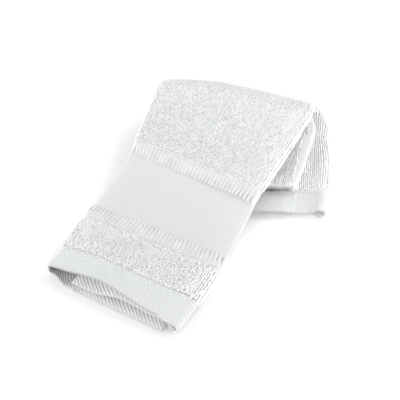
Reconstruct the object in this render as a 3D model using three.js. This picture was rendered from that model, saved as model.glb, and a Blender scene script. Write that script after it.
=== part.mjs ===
// Sports towel of white cotton terry, folded lengthwise into three layers and then turned back
// over itself across an oblique ridge. One woven cloth, so one solid: hem, terry, two ribbed
// bands and a smooth band are thicker and thinner places of the same sheet.
//
// Millimetres, +Z up. +Y runs along the front panel, from its end towards the ridge.
// The origin lies under the middle of the folded towel, on the surface that it rests on.

import * as THREE from 'three';

// Thickness of the cloth in each of its weaves
const WEAVE = { hem: 1.5, terry: 3.0, ribs: 2.1, smooth: 1.8 };

// Half the height of the bundle of three terry layers, pressed together
const LAYER_GAP = 0.7;
const HALF_BUNDLE = (3 * WEAVE.terry + 2 * LAYER_GAP) / 2;

// Cross sections of the bundle in order along the strip. left and right are the plan positions
// of its two side edges, lift the height of its underside above the surface at these edges, and
// spacing the distance from one layer to the next. rightFold is the radius of the right fold as
// a share of the spacing: 0.5 is pressed flat, 1 as tall as the bundle. middleInset and
// bottomInset are how far the two free selvedges lie inside the side edges, and crown is how far
// the bundle arches up between its edges.
const FRONT = [
  {
    place: 'front end', left: [-54.5, -113.5], right: [55, -118], lift: [0, 0],
    spacing: 4.0, rightFold: 1, middleInset: 15, bottomInset: 10, crown: 0,
  },
  {
    place: 'front hem', left: [-55, -95], right: [57, -95], lift: [0, 0],
    spacing: 4.2, rightFold: 1, middleInset: 20, bottomInset: 12, crown: 0,
  },
  {
    place: 'lower ribs start', left: [-56, -61], right: [58, -61], lift: [0, 0],
    spacing: 4.3, rightFold: 1, middleInset: 18, bottomInset: 13, crown: 0,
  },
  {
    place: 'lower ribs end', left: [-55, -50.5], right: [57, -50.5], lift: [0, 0],
    spacing: 4.2, rightFold: 1, middleInset: 17, bottomInset: 13, crown: 0,
  },
  {
    place: 'smooth middle', left: [-52.5, -24], right: [55.5, -24], lift: [6, 1.5],
    spacing: 3.8, rightFold: 1, middleInset: 16, bottomInset: 12, crown: 0,
  },
  {
    place: 'upper ribs start', left: [-52, 2.5], right: [55, 1.5], lift: [13, 9.5],
    spacing: 3.4, rightFold: 0.95, middleInset: 15, bottomInset: 12, crown: 0,
  },
  {
    place: 'upper ribs end', left: [-53, 13], right: [55.5, 12], lift: [15.5, 12.5],
    spacing: 3.6, rightFold: 0.9, middleInset: 14, bottomInset: 12, crown: 0,
  },
  {
    place: 'terry rise', left: [-55.5, 35], right: [58, 50], lift: [22.5, 18],
    spacing: 3.8, rightFold: 0.8, middleInset: 13, bottomInset: 11, crown: 2,
  },
  {
    place: 'ridge top', left: [-58, 59.5], right: [60, 92.5], lift: [31, 26.5],
    spacing: 3.7, rightFold: 0.55, middleInset: 12, bottomInset: 5, crown: 4.5,
  },
];
const REAR = [
  {
    place: 'ridge foot', left: [-48, 63], right: [70, 97], lift: [0, 0],
    spacing: 3.7, rightFold: 0.55, middleInset: 11, bottomInset: 11, crown: 0,
  },
  {
    place: 'rear middle', left: [-20, 34], right: [84, 73], lift: [0, 0],
    spacing: 3.7, rightFold: 0.65, middleInset: 10, bottomInset: 18, crown: 0,
  },
  {
    place: 'rear hem', left: [5, 2.5], right: [94.5, 48.5], lift: [0, 0],
    spacing: 3.7, rightFold: 0.75, middleInset: 9, bottomInset: 23, crown: 0,
  },
  {
    place: 'rear end', left: [13.5, -14], right: [99.7, 28.5], lift: [0, 0],
    spacing: 3.3, rightFold: 1.3, middleInset: 9, bottomInset: 24, crown: 0,
  },
];

// Weaves along the strip: each band ends at a section, or at the ridge, and is cut into steps
const FRONT_BANDS = [
  { weave: 'hem', to: 'front hem', steps: 3 },
  { weave: 'terry', to: 'lower ribs start', steps: 4 },
  { weave: 'ribs', to: 'lower ribs end', steps: 2 },
  { weave: 'smooth', to: 'upper ribs start', steps: 6 },
  { weave: 'ribs', to: 'upper ribs end', steps: 2 },
  { weave: 'terry', to: 'ridge top', steps: 7 },
];
const REAR_BANDS = [
  { weave: 'terry', to: 'rear hem', steps: 7 },
  { weave: 'hem', to: 'rear end', steps: 3 },
];
const STEP_EDGE = 1.0;
const REAR_STEP_EDGE = 3.0;
const RIDGE_STEPS = 10;
const CROWN_CREST = 0.4;

// Points across each layer and round each side fold
const LAYER_STEPS = 11;
const LEFT_FOLD_STEPS = 7;
const RIGHT_FOLD_STEPS = 5;

// Beside a tall right fold the middle layer dips to meet it, over one length in front of the
// ridge and another behind it
const FRONT_DIP_LENGTH = 6;
const REAR_DIP_LENGTH = 12;

// Loose front end: the top layer arches up over a part of the width, and the middle layer lies
// on the bottom one at the left and tucks up under the top one further right. Shares are of the
// width, from the left.
const LOOSE_LENGTH = 55;
const TOP_WAVE = 4.2;
const TOP_WAVE_END = 0.8;
const TOP_CREST = 0.5;
const TUCK_START = 0.34;
const TUCK_END = 0.62;
const TUCK_GAP = 0.6;

// The side folds of the front panel are a little squared off, more so at its end, where they
// are wide enough for the thickness of the cloth
const FOLD_POWER = 0.75;
const END_FOLD_POWER = 0.5;
const END_FOLD_LENGTH = 24;

// How far the bottom layer of the front end reaches forward, how far the others do as shares of
// it, and how far the upper layers of the rear end stay back
const FRONT_REACH = 5;
const MIDDLE_REACH = 0.45;
const TOP_REACH = -0.6;
const FOLD_REACH = 0.7;
const REAR_RETREAT = 0.6;
const REACH_LENGTH = 22;

// How much closer the layers of the rear hem lie than those of its terry
const REAR_PRESS = 1.4;

const WHITE = 0xe2e5e4;

const vector = (plan, height) => new THREE.Vector3(plan[0], plan[1], height);
const mix = (a, b, t) => a + (b - a) * t;
const smooth = (t) => t * t * (3 - 2 * t);
const clamp01 = (t) => Math.min(1, Math.max(0, t));

// A smooth run through the sections' values of one column
function columnCurve(values) {
  const points = values.map((value, i) => new THREE.Vector3(i, value, 0));
  const curve = new THREE.CatmullRomCurve3(points, false, 'catmullrom', 0.5);
  return (knot) => curve.getPoint(knot / (values.length - 1)).y;
}

// The sections of one panel as functions of the knot, a number from 0 to the last section
function panel(sections) {
  const column = (read) => columnCurve(sections.map(read));
  const columns = {
    leftX: column((s) => s.left[0]),
    leftY: column((s) => s.left[1]),
    rightX: column((s) => s.right[0]),
    rightY: column((s) => s.right[1]),
    leftLift: column((s) => s.lift[0]),
    rightLift: column((s) => s.lift[1]),
    spacing: column((s) => s.spacing),
    rightFold: column((s) => s.rightFold),
    middleInset: column((s) => s.middleInset),
    bottomInset: column((s) => s.bottomInset),
    crown: column((s) => s.crown),
  };
  return (knot) => ({
    left: vector(
      [columns.leftX(knot), columns.leftY(knot)],
      HALF_BUNDLE + Math.max(0, columns.leftLift(knot)),
    ),
    right: vector(
      [columns.rightX(knot), columns.rightY(knot)],
      HALF_BUNDLE + Math.max(0, columns.rightLift(knot)),
    ),
    spacing: columns.spacing(knot),
    rightFold: columns.rightFold(knot),
    middleInset: columns.middleInset(knot),
    bottomInset: columns.bottomInset(knot),
    crown: Math.max(0, columns.crown(knot)),
  });
}

// Rows of one panel: each band starts and ends a little inside its edges, so that the change
// of weave is a short step
function panelRows(sections, bands, rear) {
  const at = panel(sections);
  const knotOf = (place) => sections.findIndex((s) => s.place === place);
  const rows = [];
  let from = 0;
  for (const [index, band] of bands.entries()) {
    const to = knotOf(band.to);
    const length = at(from).right.distanceTo(at(to).right);
    const edge = rear ? REAR_STEP_EDGE : STEP_EDGE;
    const inset = (edge / 2 / length) * (to - from);
    const press = rear && band.weave === 'hem' ? REAR_PRESS : 0;
    const first = index === 0 ? from : from + inset;
    const last = index === bands.length - 1 ? to : to - inset;
    for (let i = 0; i <= band.steps; i += 1) {
      const row = at(mix(first, last, i / band.steps));
      const spacing = row.spacing - press;
      rows.push({ ...row, spacing, thickness: WEAVE[band.weave], rear });
    }
    from = to;
  }
  return rows;
}

// Rows round the ridge, from the top panel's last row down to the rear panel's first one
function ridgeRows(top, foot) {
  const rows = [];
  const along = top.right.clone().sub(top.left).setZ(0).normalize();
  const outward = new THREE.Vector3(-along.y, along.x, 0);
  for (let i = 1; i < RIDGE_STEPS; i += 1) {
    const angle = (Math.PI * i) / RIDGE_STEPS;
    const share = (1 - Math.cos(angle)) / 2;
    const edge = (side) => {
      const radius = (top[side].z - foot[side].z) / 2;
      const point = top[side].clone().lerp(foot[side], share);
      return point.addScaledVector(outward, radius * Math.sin(angle));
    };
    rows.push({
      left: edge('left'),
      right: edge('right'),
      spacing: mix(top.spacing, foot.spacing, share),
      rightFold: mix(top.rightFold, foot.rightFold, share),
      middleInset: mix(top.middleInset, foot.middleInset, share),
      bottomInset: mix(top.bottomInset, foot.bottomInset, share),
      crown: mix(top.crown, foot.crown, share),
      thickness: WEAVE.terry,
      rear: share,
    });
  }
  return rows;
}

// Adds to each row its run from the front end and to the rear end, its forward direction and
// its upward normal, which turns with the bundle round the ridge
function orient(rows) {
  const middle = rows.map((row) => row.left.clone().lerp(row.right, 0.5));
  let run = 0;
  rows.forEach((row, i) => {
    const before = Math.max(i - 1, 0);
    const after = Math.min(i + 1, rows.length - 1);
    run += middle[i].distanceTo(middle[before]);
    row.run = run;
    row.width = row.left.distanceTo(row.right);
    row.across = row.right.clone().sub(row.left).divideScalar(row.width);
    row.forward = middle[after].clone().sub(middle[before]).normalize();
    row.up = row.across.clone().cross(row.forward).normalize();
  });
  for (const row of rows) {
    row.runLeft = run - row.run;
  }
  return rows;
}

// Offsets of the three layers' middles from the bundle's middle surface. The pressed bundle
// lies on its underside in front, and on its other face behind the ridge.
function layerOffsets(row) {
  const fromBelow = -HALF_BUNDLE + row.thickness / 2;
  const fromAbove = HALF_BUNDLE - row.thickness / 2 - 2 * row.spacing;
  const bottom = mix(fromBelow, fromAbove, row.rear);
  return { bottom, middle: bottom + row.spacing, top: bottom + 2 * row.spacing };
}

// An arch from 0 at both edges to 1 at a crest, which is a share of the width from the left
function arch(share, crest) {
  const rise = share < crest ? share / crest : (1 - share) / (1 - crest);
  return smooth(clamp01(rise));
}

// How loose the cloth is at a row: 1 at the front end, 0 from LOOSE_LENGTH on
const looseness = (run) => smooth(clamp01(1 - run / LOOSE_LENGTH));

// How much a fold of the front panel is squared off, as a power for foldPoint
function foldPower(row, radius) {
  const atEnd = smooth(clamp01(1 - row.run / END_FOLD_LENGTH));
  const wide = clamp01((2.5 * radius) / row.thickness - 2.5);
  return mix(1, mix(FOLD_POWER, END_FOLD_POWER, atEnd), wide * (1 - row.rear));
}

// A point round a side fold: x is 0 at its open side and 1 at its outermost place, and y goes
// from -1 to 1. A power below 1 squares the fold off.
function foldPoint(angle, power) {
  const cosine = Math.cos(angle);
  return {
    x: Math.sin(angle) ** power,
    y: -Math.sign(cosine) * Math.abs(cosine) ** power,
  };
}

// The cloth's centre line across the bundle, as { a, h, reach }: distance from the left edge,
// offset from the middle surface, and share of the bottom layer's forward reach. It runs from
// the bottom layer's selvedge to the left fold, back over the top and in again under it.
function sectionLine(row) {
  const { bottom, middle, top } = layerOffsets(row);
  const { width, thickness, rear } = row;
  const loose = looseness(row.run);
  const wave = (a) => loose * arch(a / width / TOP_WAVE_END, TOP_CREST);
  const topHeight = (a) => top + TOP_WAVE * wave(a);
  const leftRadius = (top - bottom) / 2;
  const rightRadius = row.spacing * row.rightFold;
  const leftCentre = leftRadius + thickness / 2;
  const rightCentre = width - rightRadius - thickness / 2;
  const dipLength = mix(FRONT_DIP_LENGTH, REAR_DIP_LENGTH, rear);
  const line = [];
  const bottomStart = width - row.bottomInset;
  for (let i = 0; i < LAYER_STEPS; i += 1) {
    const a = mix(bottomStart, leftCentre, i / LAYER_STEPS);
    line.push({ a, h: bottom, reach: smooth(clamp01((a - leftCentre) / mix(14, 20, rear))) });
  }
  for (let i = 0; i < LEFT_FOLD_STEPS; i += 1) {
    const { x, y } = foldPoint((Math.PI * i) / LEFT_FOLD_STEPS, foldPower(row, leftRadius));
    const a = leftCentre - leftRadius * x;
    line.push({ a, h: mix(bottom, topHeight(leftCentre), (1 + y) / 2), reach: 0 });
  }
  for (let i = 0; i < LAYER_STEPS; i += 1) {
    const a = mix(leftCentre, rightCentre, i / LAYER_STEPS);
    line.push({ a, h: topHeight(a), reach: TOP_REACH * wave(a) * (1 - rear) });
  }
  const foldReach = mix(FOLD_REACH, 1, rear);
  for (let i = 0; i < RIGHT_FOLD_STEPS; i += 1) {
    const { x, y } = foldPoint((Math.PI * i) / RIGHT_FOLD_STEPS, foldPower(row, rightRadius));
    const a = rightCentre + rightRadius * x;
    line.push({ a, h: top - rightRadius * (1 + y), reach: (foldReach * i) / RIGHT_FOLD_STEPS });
  }
  for (let i = 0; i <= LAYER_STEPS; i += 1) {
    const a = mix(rightCentre, row.middleInset, (i / LAYER_STEPS) ** 1.6);
    const tuck = smooth(clamp01((a / width - TUCK_START) / (TUCK_END - TUCK_START)));
    const lying = bottom + thickness + TUCK_GAP;
    const tucked = mix(lying, topHeight(a) - thickness - TUCK_GAP, tuck);
    const toFold = smooth(clamp01(1 - (rightCentre - a) / dipLength));
    const h = mix(mix(middle, tucked, loose), top - 2 * rightRadius, toFold);
    const reach = mix(MIDDLE_REACH * (1 - tuck) + FOLD_REACH * toFold, 1, rear);
    line.push({ a, h, reach });
  }
  return line;
}

// Both faces of the cloth along one row, in space
function rowFaces(row) {
  const line = sectionLine(row);
  const atFront = smooth(clamp01(1 - row.run / REACH_LENGTH));
  const atRear = smooth(clamp01(1 - row.runLeft / REACH_LENGTH));
  const reach = FRONT_REACH * atFront + REAR_RETREAT * atRear;
  const place = (a, h, share) =>
    row.left
      .clone()
      .addScaledVector(row.across, a)
      .addScaledVector(row.up, h + row.crown * arch(a / row.width, CROWN_CREST))
      .addScaledVector(row.forward, -reach * share);
  const outer = [];
  const inner = [];
  line.forEach((point, i) => {
    const before = line[Math.max(i - 1, 0)];
    const after = line[Math.min(i + 1, line.length - 1)];
    const length = Math.hypot(after.a - before.a, after.h - before.h);
    const side = [(after.h - before.h) / length, -(after.a - before.a) / length];
    const half = row.thickness / 2;
    outer.push(place(point.a - side[0] * half, point.h - side[1] * half, point.reach));
    inner.push(place(point.a + side[0] * half, point.h + side[1] * half, point.reach));
  });
  return { outer, inner };
}

// The closed body of the cloth: its two faces, joined along both ends and both selvedges
function clothGeometry(rows) {
  const faces = rows.map(rowFaces);
  const count = faces[0].outer.length;
  const positions = [];
  for (const { outer, inner } of faces) {
    for (const point of [...outer, ...inner]) {
      positions.push(point.x, point.y, point.z);
    }
  }
  const outer = (row, i) => row * 2 * count + i;
  const inner = (row, i) => row * 2 * count + count + i;
  const indices = [];
  const quad = (a, b, c, d) => indices.push(a, b, c, a, c, d);
  const last = rows.length - 1;
  for (let row = 0; row < last; row += 1) {
    for (let i = 0; i < count - 1; i += 1) {
      quad(outer(row, i), outer(row, i + 1), outer(row + 1, i + 1), outer(row + 1, i));
      quad(inner(row, i + 1), inner(row, i), inner(row + 1, i), inner(row + 1, i + 1));
    }
    quad(outer(row, 0), outer(row + 1, 0), inner(row + 1, 0), inner(row, 0));
    const edge = count - 1;
    quad(inner(row, edge), inner(row + 1, edge), outer(row + 1, edge), outer(row, edge));
  }
  for (let i = 0; i < count - 1; i += 1) {
    quad(inner(0, i), inner(0, i + 1), outer(0, i + 1), outer(0, i));
    quad(outer(last, i), outer(last, i + 1), inner(last, i + 1), inner(last, i));
  }
  const geometry = new THREE.BufferGeometry();
  geometry.setAttribute('position', new THREE.Float32BufferAttribute(positions, 3));
  geometry.setIndex(indices);
  return geometry;
}

function towel() {
  const front = panelRows(FRONT, FRONT_BANDS, 0);
  const rear = panelRows(REAR, REAR_BANDS, 1);
  const ridge = ridgeRows(front.at(-1), rear[0]);
  const geometry = clothGeometry(orient([...front, ...ridge, ...rear]));
  geometry.computeBoundingBox();
  const centre = geometry.boundingBox.getCenter(new THREE.Vector3());
  geometry.translate(-centre.x, -centre.y, 0);
  geometry.computeVertexNormals();
  const material = new THREE.MeshStandardMaterial({ color: WHITE, roughness: 0.95, metalness: 0 });
  const mesh = new THREE.Mesh(geometry, material);
  mesh.name = 'towel';
  return mesh;
}

const part = new THREE.Group();
part.add(towel());

export default part;
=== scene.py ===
"""A folded sports towel of white cotton terry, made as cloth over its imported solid.

One woven cloth is folded lengthwise into three layers and turned back over itself across an
oblique ridge. The sheet follows the solid's cross sections in finer steps and with softer
folds. Terry loops and the borders' ribs stand on it as Geometry Nodes instances, and materials
carry the twill of the hems and the plain weave of the smooth band.

Sizes are millimetres in the tables and metres in Blender. +Z is up, and +Y runs along the
front panel from its end towards the ridge.
"""

import math
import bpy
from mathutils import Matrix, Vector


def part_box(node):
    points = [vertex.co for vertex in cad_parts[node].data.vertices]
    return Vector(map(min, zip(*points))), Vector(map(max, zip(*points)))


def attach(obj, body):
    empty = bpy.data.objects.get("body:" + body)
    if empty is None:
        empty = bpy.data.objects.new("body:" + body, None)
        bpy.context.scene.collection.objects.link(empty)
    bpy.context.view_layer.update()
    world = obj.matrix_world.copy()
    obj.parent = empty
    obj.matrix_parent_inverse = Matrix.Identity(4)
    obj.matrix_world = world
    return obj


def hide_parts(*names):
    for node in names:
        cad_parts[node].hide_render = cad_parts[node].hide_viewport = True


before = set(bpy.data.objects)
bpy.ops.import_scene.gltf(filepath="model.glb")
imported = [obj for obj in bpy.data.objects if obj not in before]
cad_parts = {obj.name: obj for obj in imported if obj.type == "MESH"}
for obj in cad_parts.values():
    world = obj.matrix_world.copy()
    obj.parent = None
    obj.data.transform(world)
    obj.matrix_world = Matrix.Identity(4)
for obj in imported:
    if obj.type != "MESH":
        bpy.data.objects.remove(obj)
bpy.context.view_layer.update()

from types import SimpleNamespace
from typing import NamedTuple

import bpy
import numpy as np
from mathutils import Vector, noise
from numpy.linalg import norm

MM = 0.001

bl_info = {
    "name": "Folded Sports Towel",
    "version": (1, 0, 0),
    "blender": (4, 5, 0),
    "location": "View3D > Sidebar > Towel",
    "description": "A folded terry towel with looped pile, ribbed borders and twill hems",
    "category": "Object",
}


# The folded form


class Section(NamedTuple):
    """A cross section of the three-layer bundle, in millimetres.

    left and right are the plan positions of its side edges. spacing is the distance between
    layers, right_fold the radius of the right fold as a share of it, and the insets are how far
    the two free selvedges lie inside the side edges. lift is the height of the underside at
    these edges, and crown how far the bundle arches up between them.
    """

    place: str
    left: tuple
    right: tuple
    spacing: float
    right_fold: float
    middle_inset: float
    bottom_inset: float
    lift: tuple = (0, 0)
    crown: float = 0


FRONT = (
    Section("front end", (-54.5, -113.5), (55, -118), 4.0, 0.8, 22, 12),
    Section("front hem", (-55, -95), (57, -95), 4.2, 0.85, 23, 12),
    Section("lower ribs start", (-56, -61), (58, -61), 4.3, 1.0, 18, 13),
    Section("lower ribs end", (-55, -50.5), (57, -50.5), 4.2, 1.0, 17, 13),
    Section("smooth middle", (-52.5, -24), (55.5, -24), 3.8, 1.0, 16, 12, (6, 1.5)),
    Section("upper ribs start", (-52, 2.5), (55, 1.5), 3.4, 0.95, 15, 12, (13, 9.5)),
    Section("upper ribs end", (-53, 13), (55.5, 12), 3.6, 0.9, 14, 12, (15.5, 12.5)),
    Section("terry rise", (-55.5, 35), (58, 50), 3.8, 0.8, 13, 11, (22.5, 18), 2),
    Section("ridge top", (-58, 59.5), (60, 92.5), 3.7, 0.55, 12, 5, (31, 26.5), 4.5),
)
REAR = (
    Section("ridge foot", (-48, 63), (73.5, 98.8), 3.7, 0.55, 11, 11),
    Section("rear middle", (-20, 34), (85.2, 73.6), 3.7, 0.65, 10, 18),
    Section("rear hem", (5, 2.5), (94.5, 48.5), 3.7, 0.75, 9, 23),
    Section("rear end", (13.5, -14), (101.2, 29.2), 3.3, 1.6, 9, 24),
)
BUNDLE_SIZES = ("spacing", "right_fold", "middle_inset", "bottom_inset", "crown")


# The weaves along the strip: each up to a section, in steps
FRONT_BANDS = (
    ("hem", "front hem", 13),
    ("terry", "lower ribs start", 16),
    ("ribs", "lower ribs end", 7),
    ("smooth", "upper ribs start", 22),
    ("ribs", "upper ribs end", 7),
    ("terry", "ridge top", 30),
)
REAR_BANDS = (("terry", "rear hem", 28), ("hem", "rear end", 12))
WEAVES = ("hem", "terry", "ribs", "smooth")

# The bundle's half height, pressed: three layers of terry with the gaps between them
TERRY_WITH_PILE = 3.0
LAYER_GAP = 0.7
HALF_BUNDLE = (3 * TERRY_WITH_PILE + 2 * LAYER_GAP) / 2

# The step at a change of weave, the length of the middle layer's dip into the right fold, in
# front and behind, and where the bundle is crowned
WEAVE_STEP = 1.0
DIP_LENGTH = (6, 12)
CROWN_CREST = 0.4

# The loose front end: its top layer arches up left of the middle, and the middle layer lies on
# the bottom one at the left and tucks up under the top one
LOOSE_LENGTH = 55
TOP_WAVE = 4.2
TOP_WAVE_END = 0.8
TOP_CREST = 0.5
TUCK_START = 0.34
TUCK_END = 0.62
TUCK_GAP = 0.6

# Wide side folds of the front panel are squared off where they don't slope, more so at its end
FOLD_POWER = 0.75
END_FOLD_POWER = 0.5
END_FOLD_LENGTH = 24
SQUARING = 2.5

# How much further in than its lower half the upper half of a side fold bends down: on the front
# panel, at the left growing over a length from its end, and on the rear panel
FOLD_SLOPE = 12.0
FOLD_SLOPE_LENGTH = 40
REAR_FOLD_SLOPE = 4.0

# How far the layers of the front end reach forward, as shares of the bottom one's reach, and the
# upper ones of the rear end. It rises from the left fold, in front and behind, and fades along
# the strip
FRONT_REACH = 5
MIDDLE_REACH = 0.45
TOP_REACH = -0.6
FOLD_REACH = 0.7
REAR_REACH = 2.2
CORNER_REACH = 1.6
CORNER_LENGTH = 5
REACH_RISE = (14, 20)
REACH_LENGTH = 22

# The rear panel's upper layer bulges in front of the hem and hangs over it as a lip, with painted
# shade in the crease below. The hem's layers lie closer, the upper one pressed thin along its
# selvedge
BULGE = 2.6
BULGE_LENGTH = 28
LIP = 3.2
LIP_LENGTH = 4.5
SIDE_RISE = 25
CREASE_WIDTH = 2.4
CREASE_INSET = 3
CREASE_FADE = 5.0
REAR_PRESS = 1.4
PRESSED_EDGE = 10
PRESSED_SHARE = 0.4
PRESSED_GAP = 0.15

# The bare selvedge, in front and behind, widens from a distance to the rear end on
SELVEDGE_WIDTH = (2.5, 3.6)
SELVEDGE_FADE = 1.6
SELVEDGE_GROWTH = 1.2
GROWTH_START = 30
GROWTH_LENGTH = 50

# Soft puckers: heights by weave, and waves as size, seed and share, shorter in height
PUCKER_HEIGHTS = {"hem": 0.25, "terry": 0.42, "ribs": 0.3, "smooth": 0.3}
PUCKER_WAVES = ((17, 1.3, 1.0), (6, 4.1, 0.5))
PUCKER_SQUASH = 3
SEED_STEP = (1.0, 0.37, 1.7)

# Painted shade on both ends' rounded rims, less in some columns where the front one bends round
RIM_WIDTH = 1.2
BENT_RIM = 0.2
BEND_COLUMNS = 12

# Painted shade darkens the ground between loops or ribs up to a slant across, less on the rear
# panel and at least a share near a change of weave; elsewhere painted light pales the ground.
# The inside of the left fold is shaded over a width
GROOVE_SHADE_SLANT = 0.4
SLANT_FADE = 0.4
REAR_GROOVE_SHADE = 0.1
EDGE_GROOVE_SHADE = 0.8
EDGE_ROWS = 2
HOLLOW_WIDTH = 34

# Steps round the ridge and each part of the cross section. Close ones round off a free edge:
# shares of a layer's width, and millimetres along the strip
RIDGE_STEPS = 26
BOTTOM_STEPS = 58
LEFT_FOLD_STEPS = 14
TOP_STEPS = 68
RIGHT_FOLD_STEPS = 14
MIDDLE_STEPS = 54
SELVEDGE_SHARES = (0.0, 0.0015, 0.005, 0.011, 0.019)
EVEN_SHARES = 0.035
END_ROWS = (0.0, 0.12, 0.4, 0.9)
EVEN_ROWS = 1.4
THINNEST_EDGE = 0.06

# The width of flat cloth that the top layer takes up, and the gap under the whole towel
TOP_LAYER = 107.0
FLOOR_GAP = 0.02

# The pile's loops: their pitch across and along, how far they stray and how far they hang over
# the front hem. The last ones of a band are smaller and lie lower
LOOP_PITCH = (1.6, 2.1)
LOOP_STRAY = (0.14, 0.4)
HEM_OVERHANG = 0.6
LAST_LOOP_SIZE = 0.85
LAST_LOOP_DROP = 0.45
PILE_SEED = 23

# Loops grow in the side folds and on the rear panel, within limits, and in the coarse band
SIDE_GROWTH = 0.2
REAR_GROWTH = 0.12
LOOP_SIZES = (0.9, 1.45)
COARSE_SIZE = 1.14
COARSE_STRAY = 1.6

# The room that a loop needs over the floor, and how far past the bottom layer it shows
LOOP_ROOM = 3
LOOP_FLOOR = 0.5
SEEN_BESIDE = 4

# The coarse band, the front panel, and the rear one from a share of the way round the ridge on
PILE_PIECES = ("pile_end", "pile_front", "pile_rear")
REAR_PIECE_START = 0.1

# One loop, with its random turns in radians
LOOP_POINTS = 5
YARN_SIDES = 4
LOOP_TURN = (0.4, 0.3, 0.4)
LOOP_SEED = 11
SIZE_SEED = 7

# Ribs stand where the outer face looks up at least this much, between one selvedge and the
# right fold
RIB_FACING = 0.35
RIB_START = 3.5
RIB_STOP = 6

# One rib, blunt at its ends, with its random turns in radians
RIB_POINTS = 9
RIB_SIDES = 8
RIB_BLUNTNESS = 8
RIB_TIP = 0.3
RIB_TURN = (0.05, 0.02, 0.04)
RIB_SEED = 5

# The cloth's material: how much its twill wanders, how deep its patterns are, how light each
# weave and pattern is against the painted groove shade, and how dark the painted shade is
WANDER = SimpleNamespace(patches=2.5, fibres=1.6)
RELIEF = SimpleNamespace(twill=0.5, plain=0.25, fibres=0.2)
LIGHT = SimpleNamespace(hem=0.35, smooth=0.55, terry=0.3, ribs=0.35)
CONTRAST = SimpleNamespace(twill=0.5, hem_fibres=0.4, fibres=0.25, plain=0.12)
SHADE = SimpleNamespace(crease=2.8, crease_cut=0.25, rim=0.4, hollow=0.6)
YARN = SimpleNamespace(light=0.55, hairs=0.5, patches=1.0)

# How fine the noise of each surface is, per metre, and how deep its bumps are, in metres
CLOTH_FIBRES = 420.0
CLOTH_PATCHES = 60.0
YARN_PATCHES = 130.0
LOOP_HAIRS = 1500.0
RIB_HAIRS = 900.0
CLOTH_BUMP = 0.0006
LOOP_BUMP = 0.0003
RIB_BUMP = 0.0004

# The studio's lights: name, place and width in metres, and power in watts
LIGHTS = (
    ("softbox_front_left", (-1.0, -1.1, 0.6), 1.4, 20.6),
    ("softbox_front_right", (1.1, -1.1, 0.5), 1.4, 11.4),
    ("lamp_left", (-0.38, 0.08, 0.16), 0.3, 0.75),
    ("lamp_right", (0.38, -0.02, 0.12), 0.3, 0.9),
    ("lamp_rear", (0.2, 0.42, 0.36), 0.35, 1.8),
)
FLOOR_REACH = 6.0


def mix(a, b, t):
    return a + (b - a) * t


def smooth(t):
    """An S-shaped rise from 0 to 1 as t goes from 0 to 1."""
    t = np.clip(t, 0.0, 1.0)
    return t * t * (3 - 2 * t)


def arch(share, crest):
    """0 at both edges and 1 at the crest, a share of the width."""
    return smooth(np.where(share < crest, share / crest, (1 - share) / (1 - crest)))


def rounded(distance, radius):
    """The share of its thickness that a sheet has at a distance from its free edge."""
    t = np.clip(distance / radius, 0.0, 1.0)
    return np.maximum(np.sqrt(1 - (1 - t) ** 2), THINNEST_EDGE)


def unit(vectors):
    return vectors / norm(vectors, axis=-1, keepdims=True)


def column_curve(values):
    """A smooth curve through values, as a function of their number."""
    values = [np.asarray(value, float) for value in values]
    ends = [2 * values[0] - values[1], *values, 2 * values[-1] - values[-2]]

    def at(knot):
        i = min(int(knot), len(values) - 2)
        t = knot - i
        before, start, end, after = ends[i : i + 4]
        return (
            start * (2 * t**3 - 3 * t**2 + 1)
            + end * (3 * t**2 - 2 * t**3)
            + (end - before) / 2 * (t**3 - 2 * t**2 + t)
            + (after - start) / 2 * (t**3 - t**2)
        )

    return at


def panel(sections):
    """The rows of one panel, as a function of the knot between its sections."""
    curves = {
        name: column_curve([getattr(section, name) for section in sections])
        for name in ("left", "right", "lift", *BUNDLE_SIZES)
    }

    def at(knot):
        row = SimpleNamespace(**{name: curve(knot) for name, curve in curves.items()})
        lift = HALF_BUNDLE + np.maximum(row.lift, 0)
        row.left, row.right = np.append(row.left, lift[0]), np.append(row.right, lift[1])
        row.crown = max(0.0, row.crown)
        return row

    return at


def band_shares(steps, length, free_start, free_end):
    """Where a band's rows lie, as shares of its length, with close rows at a free end."""
    shares = list(np.linspace(0, 1, steps + 1))
    if free_start:
        shares = [d / length for d in END_ROWS] + [s for s in shares if s * length > EVEN_ROWS]
    if free_end:
        kept = [s for s in shares if (1 - s) * length > EVEN_ROWS]
        shares = kept + [1 - d / length for d in reversed(END_ROWS)]
    return shares


def panel_rows(sections, bands, rear):
    """The rows of one panel. A change of weave is a short step between two bands."""
    at = panel(sections)
    places = [section.place for section in sections]
    rows = []
    start = 0
    for number, (weave, to, steps) in enumerate(bands):
        end = places.index(to)
        length = norm(at(start).right - at(end).right)
        inset = WEAVE_STEP / 2 / length * (end - start)
        is_first, is_last = number == 0, number == len(bands) - 1
        first = start if is_first else start + inset
        last = end if is_last else end - inset
        for share in band_shares(steps, length, is_first and not rear, is_last and rear):
            row = at(mix(first, last, share))
            row.weave = weave
            row.rear = float(rear)
            if rear and weave == "hem":
                row.spacing -= REAR_PRESS
            rows.append(row)
        start = end
    return rows


def ridge_rows(top, foot):
    """The rows round the ridge, down to the rear panel's first one."""
    along = unit((top.right - top.left) * (1, 1, 0))
    outward = np.array((-along[1], along[0], 0.0))
    rows = []
    for step in range(1, RIDGE_STEPS):
        angle = math.pi * step / RIDGE_STEPS
        share = (1 - math.cos(angle)) / 2
        row = SimpleNamespace(weave="terry", rear=share)
        for name in BUNDLE_SIZES:
            setattr(row, name, mix(getattr(top, name), getattr(foot, name), share))
        for side in ("left", "right"):
            above, below = getattr(top, side), getattr(foot, side)
            bulge = (above[2] - below[2]) / 2 * math.sin(angle)
            setattr(row, side, mix(above, below, share) + outward * bulge)
        rows.append(row)
    return rows


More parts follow.
